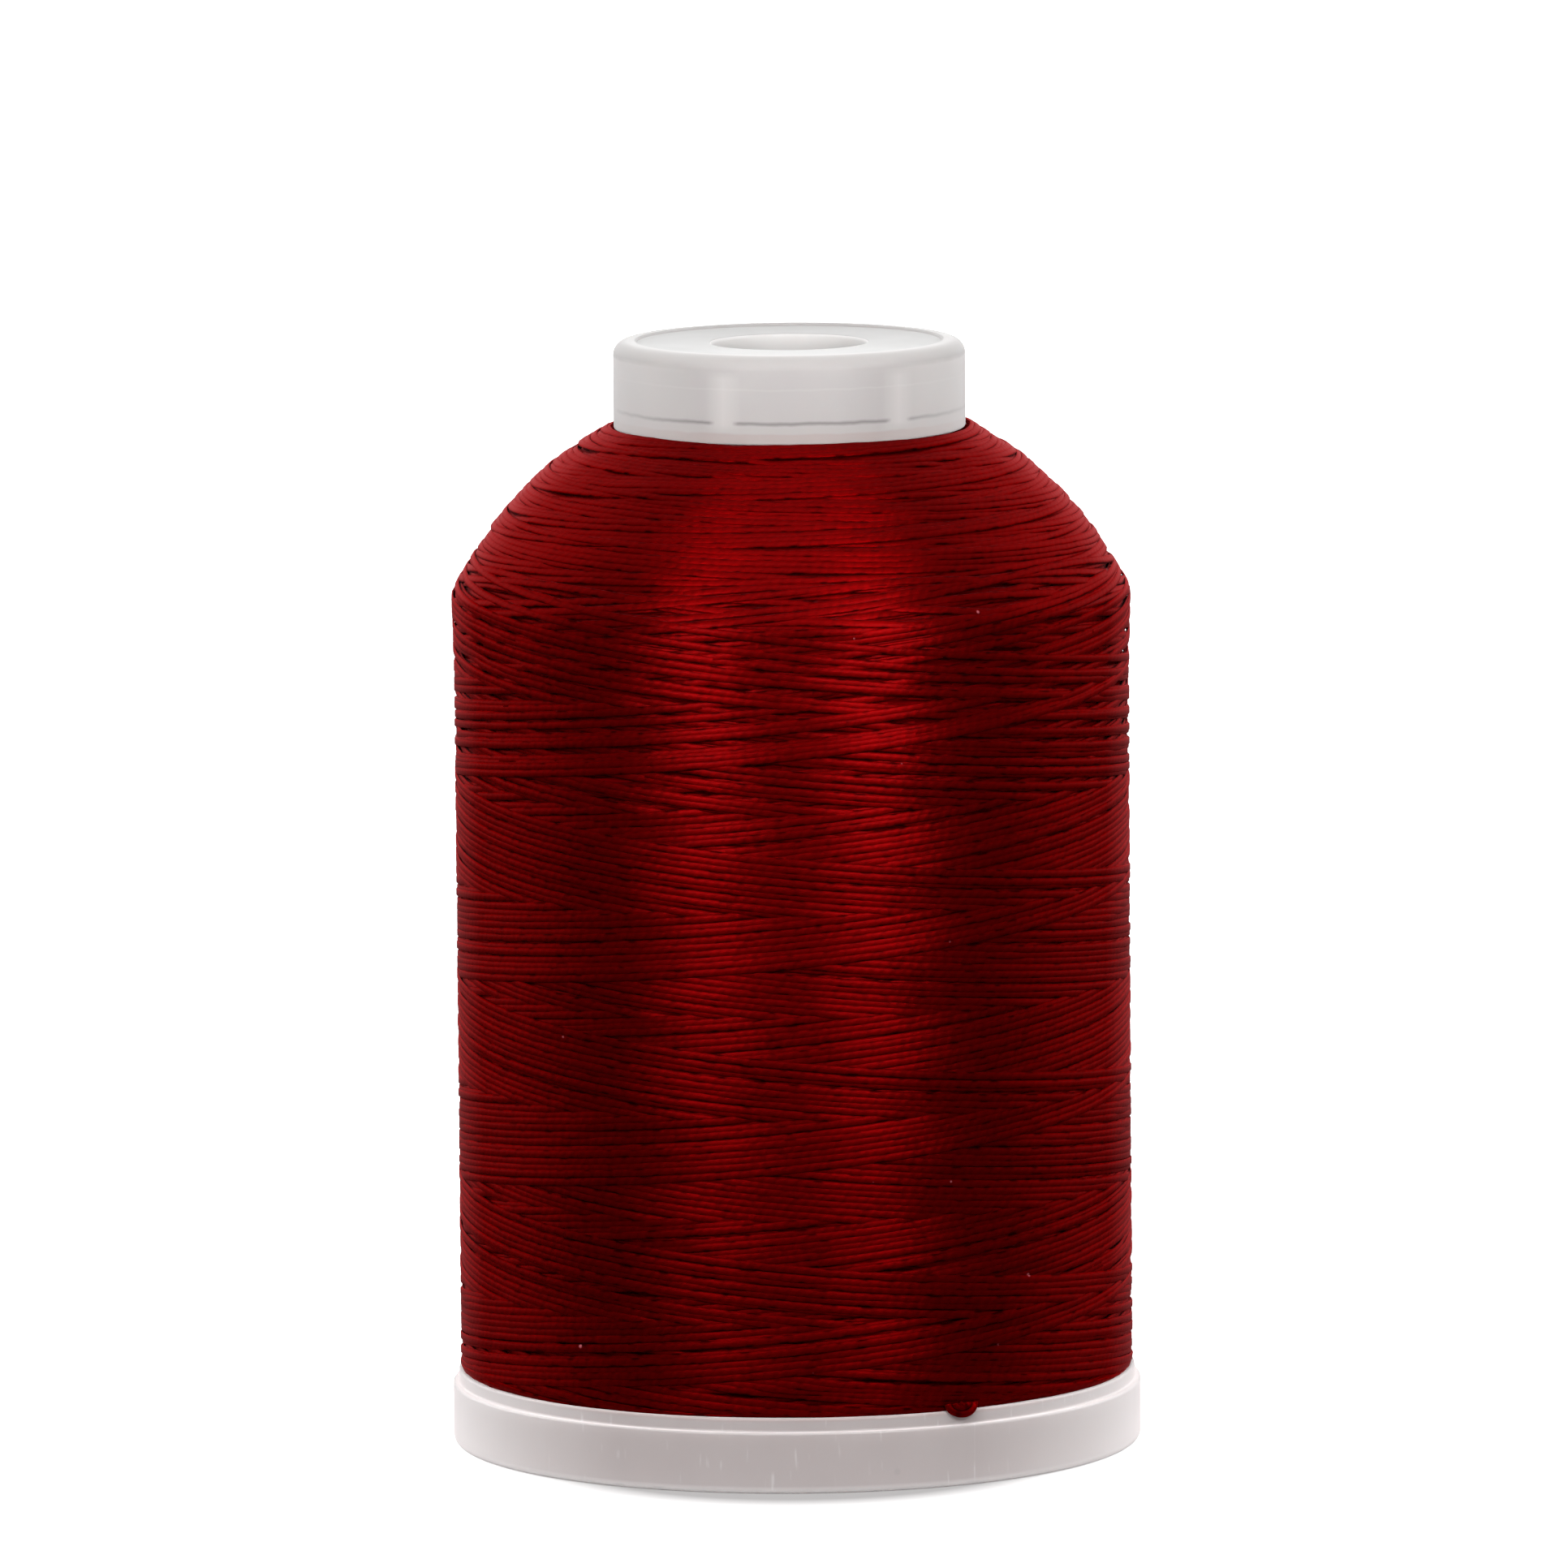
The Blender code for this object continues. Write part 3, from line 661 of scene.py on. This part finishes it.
def packageProfile():
    # Outer meridian of the package: foot arc, upright wall, shoulder arc and dome arc, walked at
    # even steps. Gives r, z and the outward normal at each distance along it, all in mm.
    look = winding
    radius, low, top = packHigh.x / mm, packLow.z / mm, packHigh.z / mm
    foot, turn = look["footRound"], look["shoulderRound"]
    start = arcPoints(radius - foot, low + foot - look["footDrop"], foot, -72, 0, 16)
    shoulder = arcPoints(radius - turn, look["shoulder"] - turn, turn, 0, 30, 8)
    first, last = shoulder[-1], np.array((collarHigh.x / mm + 0.3, top))
    chord = last - first
    length = np.hypot(*chord)
    inward = np.array((-chord[1], chord[0])) / length
    centre = (first + last) / 2 + inward * math.sqrt(look["domeRadius"] ** 2 - (length / 2) ** 2)
    ends = [math.degrees(math.atan2(*(p - centre)[::-1])) for p in (first, last)]
    dome = arcPoints(*centre, look["domeRadius"], *ends, 40)
    line = np.concatenate((start, shoulder, dome[1:]))
    steps = np.concatenate(([0.0], np.cumsum(np.hypot(*np.diff(line, axis=0).T))))
    s = np.arange(0.0, steps[-1], 0.02)
    r, z = np.interp(s, steps, line[:, 0]), np.interp(s, steps, line[:, 1])
    tangent = np.stack((np.gradient(r), np.gradient(z)))
    kernel = np.ones(25) / 25
    tangent = np.stack([np.convolve(np.pad(t, 12, mode="edge"), kernel, "valid") for t in tangent])
    tangent /= np.hypot(*tangent)
    shoulderAt = np.interp(look["shoulder"] - turn, line[:, 1], steps)
    return dict(s=s, r=r, z=z, nr=tangent[1], nz=-tangent[0], end=s[-1], shoulder=shoulderAt)


def strokePath(low, high, wind, startTurn, doubles, ends):
    # The thread's distance along the meridian against its angle: a triangle wave between low and
    # high with rounded corners, made as arcsin(k sin x) / arcsin(k); each corner is moved a little
    # by the numbers in ends.
    span = high - low
    turnsPerDouble = round(2 * span / wind["pitch"]) + wind["spacing"] / wind["pitch"]
    turns = np.arange(int(doubles * turnsPerDouble * winding["turnCells"])) / winding["turnCells"]
    stroke = turns / turnsPerDouble * 2
    sharpness = 1 - (wind["turnSoft"] / span * math.pi) ** 2 / 2
    wave = np.arcsin(sharpness * -np.cos(math.pi * stroke)) / math.asin(sharpness)
    shift = np.interp(stroke, np.arange(len(ends)), ends) * wave ** 3 * (0.6 + 0.4 * wave)
    slow = sum(a * np.sin(2 * math.pi * (turns * f + p)) for a, f, p in
               zip(rng.normal(0, 0.6, 5), rng.uniform(0.05, 1.7, 5), rng.uniform(0, 1, 5)))
    return startTurn + turns, (low + high) / 2 + span / 2 * wave + shift + wind["wander"] * slow


def blurred(height, aroundCells, alongCells):
    # Gaussian blur of the height map, closed round the axis; the ends along the meridian are
    # continued by mirror copies.
    mirrored = np.concatenate((height, height[:, ::-1]), axis=1)
    fa = np.fft.fftfreq(mirrored.shape[0])[:, None] * aroundCells
    fs = np.fft.rfftfreq(mirrored.shape[1])[None, :] * alongCells
    soft = np.fft.rfft2(mirrored) * np.exp(-2 * math.pi ** 2 * (fa ** 2 + fs ** 2))
    return np.fft.irfft2(soft, mirrored.shape)[:, :height.shape[1]]


def cellOf(s):
    # The height map's cell at distance s along the meridian.
    return np.round(s / winding["grain"]).astype(int) + winding["spareCells"]


def layThread(turns, s, height):
    # Lays the strand, one turn at a time, on what is already wound: its centre rests on the highest
    # thing under its width, then tension pulls it straight, so that it bridges hollows: each point
    # rises to the mean of its neighbours less the wall's own bow. height is the surface so far.
    look = winding
    cells = look["turnCells"]
    width, depth = look["restWidth"], look["halfHeight"]
    offsets = np.arange(-3, 4)
    push = depth * np.sqrt(np.clip(1 - (offsets * look["grain"] / width) ** 2, 0, 1))
    column = np.round(turns * cells).astype(int) % cells
    row = cellOf(s)
    resting = np.full(len(turns), -9.0)
    radius = 20.0
    bow = (2 * math.pi * radius / cells) ** 2 / (2 * radius)
    join = look["joinCells"]
    for begin in range(0, len(turns), cells):
        part = slice(begin, min(begin + cells, len(turns)))
        under = np.stack([height[column[part], np.clip(row[part] + k, 0, height.shape[1] - 1)] + p
                          for k, p in zip(offsets, push)])
        floor = under.max(axis=0) - 0.25 * depth
        lift = floor.copy()
        for _ in range(look["tensionSteps"]):
            lift[1:-1] = np.maximum(floor[1:-1], (lift[:-2] + lift[2:]) / 2 - bow)
        if begin:
            lift[:join] += (resting[begin - 1] - lift[0]) * np.linspace(1, 0, join)
        resting[part] = lift
        for k, p in zip(offsets, push):
            at = np.clip(row[part] + k, 0, height.shape[1] - 1)
            height[column[part], at] = np.maximum(height[column[part], at], lift + p)
    return resting


def strandTube(name, turns, s, lift, profile, segments, tone, material):
    # Flat tube along the path: centre = meridian point + lift times the normal; the cross-section
    # is halfWidth times the signed square root of |cos a| across and halfHeight times sin a along
    # the normal; UV = (length along in metres, turn around).
    look = winding
    step = look["turnCells"] / segments
    pick = np.round(np.arange(0, len(turns) - 1, step)).astype(int)
    angle, along, rise = turns[pick] * 2 * math.pi, s[pick], lift[pick]
    r, z, nr, nz = (np.interp(along, profile["s"], profile[key]) for key in ("r", "z", "nr", "nz"))
    radial = np.stack((np.cos(angle), np.sin(angle), np.zeros_like(angle)), axis=1)
    normal = radial * nr[:, None] + np.array((0, 0, 1.0)) * nz[:, None]
    centre = radial * (r + rise * nr)[:, None]
    centre[:, 2] = z + rise * nz
    forward = np.gradient(centre, axis=0)
    forward /= np.linalg.norm(forward, axis=1)[:, None]
    across = np.cross(normal, forward)
    across /= np.linalg.norm(across, axis=1)[:, None]
    outward = np.cross(forward, across)
    sides = look["sides"]
    around = 2 * math.pi * np.arange(sides) / sides
    wide = look["halfWidth"] * np.sign(np.cos(around)) * np.abs(np.cos(around)) ** 0.5
    ring = (across[:, None, :] * wide[None, :, None]
            + outward[:, None, :] * (look["halfHeight"] * np.sin(around))[None, :, None])
    places = (centre[:, None, :] + ring).reshape(-1, 3) * mm
    rows = len(centre)
    i, j = np.meshgrid(np.arange(rows - 1), np.arange(sides), indexing="ij")
    nextJ = (j + 1) % sides
    quads = np.stack((i * sides + j, i * sides + nextJ, (i + 1) * sides + nextJ, (i + 1) * sides + j),
                     axis=2).reshape(-1, 4)
    length = np.concatenate(([0.0], np.cumsum(np.linalg.norm(np.diff(centre, axis=0), axis=1)))) * mm
    u = np.stack((length[i], length[i], length[i + 1], length[i + 1]), axis=2)
    v = np.stack((j, j + 1, j + 1, j), axis=2) / sides
    uv = np.stack((u, v), axis=3).reshape(-1, 2)
    lastCap = np.array(((0, 1, 2, 3), (0, 3, 4, 5))) + (rows - 1) * sides
    firstCap = np.array(((3, 2, 1, 0), (5, 4, 3, 0)))
    quads = np.concatenate((quads, lastCap[:, ::-1], firstCap[:, ::-1]))
    uv = np.concatenate((uv, np.zeros((16, 2))))
    piece = meshObject(name, places, quads, uv=uv, tone=np.repeat(tone[pick], sides))
    piece.data.shade_smooth()
    piece.data.materials.append(material)
    return piece


def windThread():
    # Winds the dome and then the body, evens the surface out, and makes the strands' pieces.
    look = winding
    profile = packageProfile()
    grain, spare = look["grain"], look["spareCells"]
    cellCount = int(profile["end"] / grain) + 20
    height = np.full((look["turnCells"], cellCount), -1.3)
    paths = []
    # Dome: short strokes between shoulder and collar.
    low, high = profile["shoulder"] + domeWind["pastShoulder"], profile["end"] - 0.1
    ends = rng.uniform(*domeWind["ends"], 400)
    turns, s = strokePath(low, high, domeWind, 0.3, domeWind["doubles"], ends)
    s = np.clip(s, 0.2, profile["end"])
    paths.append(("dome_winding", turns, s, layThread(turns, s, height), domeWind))
    print("dome wound")
    # Body: long strokes from the foot to the shoulder, the last of them ending at the left.
    low, high = bodyWind["low"], profile["shoulder"] + bodyWind["pastShoulder"]
    ends = rng.uniform(*bodyWind["ends"], 400)
    turns, s = strokePath(low, high, bodyWind, 0.0, bodyWind["doubles"], ends)
    recent = len(s) - int(7 * look["turnCells"])
    lastTop = turns[recent + np.argmax(s[recent:])]
    turns = turns + bodyWind["newestTop"] / (2 * math.pi) - lastTop
    s = np.clip(s, 0.1, profile["end"])
    paths.append(("body_winding", turns, s, layThread(turns, s, height), bodyWind))
    print("body wound")
    # The finished surface is brought onto the package's outline by a smooth shift, so that the
    # strands' crests reach it; it bulges slightly at the shoulder and is fuller in the dome.
    first, last = int(0.3 / grain) + spare, int((profile["end"] - 0.2) / grain) + spare
    mean = blurred(height[:, first:last], look["evenAround"], look["evenAlong"])
    mean = np.pad(mean, ((0, 0), (first, cellCount - last)), mode="edge")
    place = (np.arange(cellCount) - spare) * grain
    target = look["crest"] + look["bulge"] * np.exp(-((place - profile["shoulder"]) / 2.5) ** 2)
    fuller = np.minimum((place - profile["shoulder"] - 1.5) / 3, (profile["end"] - 1.2 - place) / 3)
    target = target + look["domeCrest"] * np.clip(fuller, 0, 1)
    shift = target[None, :] - mean
    for name, turns, s, lift, wind in paths:
        column = np.round(turns * look["turnCells"]).astype(int) % look["turnCells"]
        # What stands above the mean surface is pressed down onto it.
        crest = lift - mean[column, cellOf(s)]
        lift = lift + shift[column, cellOf(s)]
        lift = lift - 0.92 * np.clip(crest - look["crestLimit"], 0, None)
        tone = toneAlong(turns)
        triangles = (turns[-1] - turns[0]) * wind["segments"] * look["sides"] * 2
        count = math.ceil(triangles / look["pieceTriangles"])
        cuts = np.linspace(0, len(turns), count + 1).astype(int)
        for k in range(count):
            part = slice(cuts[k], cuts[k + 1])
            piece = strandTube(f"{name}_{k + 1}", turns[part], s[part], lift[part], profile,
                               wind["segments"], tone[part], threadRed)
            finishPiece(piece, "spool", "red_thread", "thread_package")
    return profile


def toneAlong(turns):
    # Slow change of colour along the thread, between 0 and 1: a sum of a few sines.
    waves = zip(rng.uniform(0.2, 3.0, 9), rng.uniform(0, 1, 9))
    total = sum(np.sin(2 * math.pi * (turns * f + p)) for f, p in waves)
    return np.clip(0.5 + total / 8, 0, 1)


def makeCore(profile):
    # Closed body under the strands: the package's outline moved in along its normal by coreInset.
    inset = winding["coreInset"]
    s = np.linspace(0.05, profile["end"] - 0.02, 160)
    r, z, nr, nz = (np.interp(s, profile["s"], profile[key]) for key in ("r", "z", "nr", "nz"))
    inner, bottom = spoolTube["outer"] + 0.3, packLow.z / mm + 0.1
    outer = np.stack((r - inset * nr, z - inset * nz), axis=1)
    outer = outer[outer[:, 1] > bottom]
    outline = np.concatenate(([(inner, bottom), (outer[0, 0] - 0.2, bottom)],
                              outer, [(inner, outer[-1, 1] - 0.2)])) * mm
    piece = turned("inner_windings", outline, columnAngles(240, [], 0.0), threadDeepShade)
    return finishPiece(piece, "spool", "red_thread")


def deepThreadMaterial():
    # The layers further in, painted near-black red as the shade under the strands, with fine level
    # grooves painted darker as shade too.
    material, tree, shader = newMaterial("threadDeepShade", 0.7, **{"Specular IOR Level": 0.0})
    place, x, y, z = objectPlace(tree)
    wave = mathNode(tree, "SINE", mathNode(tree, "MULTIPLY", z, 2 * math.pi / (0.42 * mm)))
    wobble = noiseNode(tree, place, 600.0, 2.0, 0.5)
    level = mathNode(tree, "MULTIPLY_ADD", wave, 0.25, wobble, clamp=True)
    tree.links.new(mixColour(tree, level, (0.03, 0.0, 0.0002), (0.13, 0.0, 0.0008)),
                   shader.inputs["Base Color"])
    bumpInto(tree, shader, wave, 0.5, 0.1 * mm)
    return material


# The thread's start, in mm: loops inside one another, each as (width, depth, how far forward).
startLoop = dict(angle=-61.5, halfWidth=0.9, sag=0.62, segments=44, radius=0.2, sides=10,
                 nested=((1.0, 1.0, 0.0), (0.52, 0.42, 0.02), (0.12, 0.1, 0.05)))


def roundTube(centre, out, radius, sides):
    # Tube along a row of centre points: ring = radius (normal cos a + binormal sin a); gives the
    # places, the quads with both ends closed, and the UV (length in metres, turn around).
    forward = np.gradient(centre, axis=0)
    forward /= np.linalg.norm(forward, axis=1)[:, None]
    binormal = np.cross(forward, np.broadcast_to(out, forward.shape))
    binormal /= np.linalg.norm(binormal, axis=1)[:, None]
    normal = np.cross(binormal, forward)
    around = 2 * math.pi * np.arange(sides) / sides
    ring = radius * (normal[:, None] * np.cos(around)[None, :, None]
                     + binormal[:, None] * np.sin(around)[None, :, None])
    places = (centre[:, None, :] + ring).reshape(-1, 3) * mm
    rows = len(centre)
    i, j = np.meshgrid(np.arange(rows - 1), np.arange(sides), indexing="ij")
    nextJ = (j + 1) % sides
    quads = np.stack((i * sides + j, (i + 1) * sides + j, (i + 1) * sides + nextJ, i * sides + nextJ),
                     axis=2).reshape(-1, 4)
    length = np.concatenate(([0.0], np.cumsum(np.linalg.norm(np.diff(centre, axis=0), axis=1)))) * mm
    u = np.stack((length[i], length[i + 1], length[i + 1], length[i]), axis=2)
    v = np.stack((j, j, j + 1, j + 1), axis=2) / sides
    uv = np.stack((u, v), axis=3).reshape(-1, 2)
    fan = np.array([(0, k, k + 1, k + 2) for k in range(1, sides - 2, 2)])
    quads = np.concatenate((quads, fan, fan[:, ::-1] + (rows - 1) * sides))
    return places, quads, np.concatenate((uv, np.zeros((8 * len(fan), 2))))


def makeStartLoop():
    # Short loops over the rim: across = -halfWidth cos t, radius and height follow sin t.
    look = startLoop
    turn = math.radians(look["angle"])
    out = np.array((math.cos(turn), math.sin(turn), 0))
    side = np.array((-math.sin(turn), math.cos(turn), 0))
    t = np.linspace(0, math.pi, look["segments"])
    sag = np.sin(t)
    parts, count = [], 0
    for wide, deep, forward in look["nested"]:
        radius = packHigh.x / mm + 0.02 + forward + 0.22 * sag * deep
        centre = out * radius[:, None] - side * (look["halfWidth"] * wide * np.cos(t))[:, None]
        centre[:, 2] = rimTopHeight() + 0.42 - look["sag"] * deep * sag
        places, quads, uv = roundTube(centre, out, look["radius"], look["sides"])
        parts.append((places, quads + count, uv))
        count += len(places)
    places, quads, uv = (np.concatenate(kind) for kind in zip(*parts))
    piece = meshObject("start_loop", places, quads, uv=uv, tone=np.full(count, 0.8))
    piece.data.shade_smooth()
    piece.data.materials.append(threadRed)
    return finishPiece(piece, "spool", "red_thread", "thread_start_loop")


# Floor, lights and camera; the lights are (name, place in m, size, power), the sky's stops are
# (from front 0 to back 1, brightness).
stageSet = dict(
    floorSize=3.0, floorColour=(0.93, 0.93, 0.93), floorGlow=1.0, nearFloor=0.55, farFloor=0.12,
    shadow=(0.41, 0.395, 0.395), shadowWide=20.9, shadowDeep=24.5, shadowAhead=4.0,
    lamps=(("softLeft", (-0.051, -0.095, 0.080), 0.045, 0.029),
           ("softRight", (0.046, -0.095, 0.080), 0.045, 0.031),
           ("softTop", (0.0, -0.20, 0.42), 0.30, 0.27)),
    lampAim=(0.0, 0.0, 0.062), lampSpread=110.0,
    sky=((0.0, 0.12), (0.38, 0.07), (0.5, 0.42), (0.62, 0.9), (0.85, 0.8), (1.0, 0.4)),
    skyStrength=2.8, skyHighDim=0.55,
    aimHeight=39.27, aimSide=-0.5, cameraDistance=1000.0, cameraHeight=170.0, lens=389.65, roll=0.45)


def makeFloor(look):
    # Pale floor that glows for the camera, so that only the soft oval contact shadow, painted into its
    # colour and glow, shows on it; what it gives back to the spool is dimmer, most of it close by.
    half = look["floorSize"]
    places = np.array([(-half, -half, 0), (half, -half, 0), (half, half, 0), (-half, half, 0)])
    floor = meshObject("floor", places, np.array([(0, 1, 2, 3)]))
    material, tree, shader = newMaterial("paleFloor", 0.8, **{"Specular IOR Level": 0.0})
    shader.inputs["Emission Strength"].default_value = look["floorGlow"]
    place, x, y, z = objectPlace(tree)
    wide, deep, ahead = (look[key] * mm for key in ("shadowWide", "shadowDeep", "shadowAhead"))
    oval = addNode(tree, "ShaderNodeMapping")
    oval.inputs["Scale"].default_value = (1 / wide, 1 / deep, 1.0)
    oval.inputs["Location"].default_value = (0.0, ahead / deep, 0.0)
    tree.links.new(place, oval.inputs["Vector"])
    # Painted shadow: a soft oval reaching ahead of the base, darker in colour and glow.
    ring = rise(tree, lengthNode(tree, oval.outputs[0]), 0.74, 0.25)
    colour = mixColour(tree, ring, (0.1, 0.1, 0.1), look["floorColour"])
    tree.links.new(colour, shader.inputs["Base Color"])
    glow = mixColour(tree, ring, look["shadow"], (1.0, 1.0, 1.0))
    tree.links.new(glow, shader.inputs["Emission Color"])
    dim = addNode(tree, "ShaderNodeBsdfDiffuse")
    far = rise(tree, lengthNode(tree, place), 22 * mm, 12 * mm)
    bounce = mixColour(tree, far, (look["nearFloor"],) * 3, (look["farFloor"],) * 3)
    tree.links.new(bounce, dim.inputs["Color"])
    lightPath = addNode(tree, "ShaderNodeLightPath")
    mix = addNode(tree, "ShaderNodeMixShader")
    tree.links.new(lightPath.outputs["Is Camera Ray"], mix.inputs[0])
    tree.links.new(dim.outputs[0], mix.inputs[1])
    tree.links.new(shader.outputs[0], mix.inputs[2])
    tree.links.new(mix.outputs[0], tree.nodes["Material Output"].inputs["Surface"])
    floor.data.materials.append(material)


def makeSky(look):
    # Bright behind and beside the spool, dimmer in front of it and overhead; white for the camera.
    world = bpy.data.worlds.new("studio")
    bpy.context.scene.world = world
    world.use_nodes = True
    tree = world.node_tree
    background = tree.nodes["Background"]
    background.inputs["Color"].default_value = (1.0, 1.0, 1.0, 1.0)
    background.inputs["Strength"].default_value = 1.0
    place = addNode(tree, "ShaderNodeTexCoord")
    split = addNode(tree, "ShaderNodeSeparateXYZ")
    tree.links.new(place.outputs["Generated"], split.inputs[0])
    depth = mathNode(tree, "MULTIPLY_ADD", split.outputs[1], 0.5, 0.5)
    level = rampNode(tree, depth, look["sky"])
    around = addNode(tree, "ShaderNodeBackground")
    high = mathNode(tree, "MULTIPLY", split.outputs[2], -look["skyHighDim"])
    high = mathNode(tree, "ADD", mathNode(tree, "MINIMUM", high, 0.0), 1.0)
    tree.links.new(mathNode(tree, "MULTIPLY", level, high), around.inputs["Color"])
    around.inputs["Strength"].default_value = look["skyStrength"]
    lightPath = addNode(tree, "ShaderNodeLightPath")
    mix = addNode(tree, "ShaderNodeMixShader")
    tree.links.new(lightPath.outputs["Is Camera Ray"], mix.inputs[0])
    tree.links.new(around.outputs[0], mix.inputs[1])
    tree.links.new(background.outputs[0], mix.inputs[2])
    tree.links.new(mix.outputs[0], tree.nodes["World Output"].inputs["Surface"])


def makeLamps(look):
    # Two soft lights close in front and one wide light high up, all turned to the spool's shoulder.
    for name, place, size, power in look["lamps"]:
        light = bpy.data.lights.new(name, "AREA")
        light.shape, light.size, light.energy = "DISK", size, power
        light.spread = math.radians(look["lampSpread"])
        lamp = bpy.data.objects.new(name, light)
        lamp.location = place
        toward = Vector(look["lampAim"]) - lamp.location
        lamp.rotation_euler = toward.to_track_quat("-Z", "Y").to_euler()
        bpy.context.scene.collection.objects.link(lamp)


def makeCamera(look):
    # Long lens from the front and a little above, leaning by a small roll about its own axis.
    camera = bpy.data.cameras.new("camera")
    camera.lens, camera.sensor_width = look["lens"], 36.0
    camera.clip_start, camera.clip_end = 0.01, 20.0
    viewer = bpy.data.objects.new("camera", camera)
    aim = Vector((look["aimSide"], 0, look["aimHeight"])) * mm
    viewer.location = Vector((look["aimSide"], -look["cameraDistance"], look["cameraHeight"])) * mm
    toward = (aim - viewer.location).normalized()
    turn = toward.to_track_quat("-Z", "Y").to_matrix()
    right, up = turn.col[0], turn.col[1]
    lean = math.radians(look["roll"])
    newRight = right * math.cos(lean) - up * math.sin(lean)
    newUp = up * math.cos(lean) + right * math.sin(lean)
    turn.col[0], turn.col[1] = newRight, newUp
    viewer.rotation_euler = turn.to_euler()
    bpy.context.scene.collection.objects.link(viewer)
    bpy.context.scene.camera = viewer


threadRed = threadMaterial("threadRed")
threadDeepShade = deepThreadMaterial()
makeBase()
makeTube()
makeCollar()
packageShape = windThread()
makeCore(packageShape)
makeStartLoop()
makeFloor(stageSet)
makeSky(stageSet)
makeLamps(stageSet)
makeCamera(stageSet)
bpy.context.scene.view_settings.view_transform = "Standard"
print("stage set")
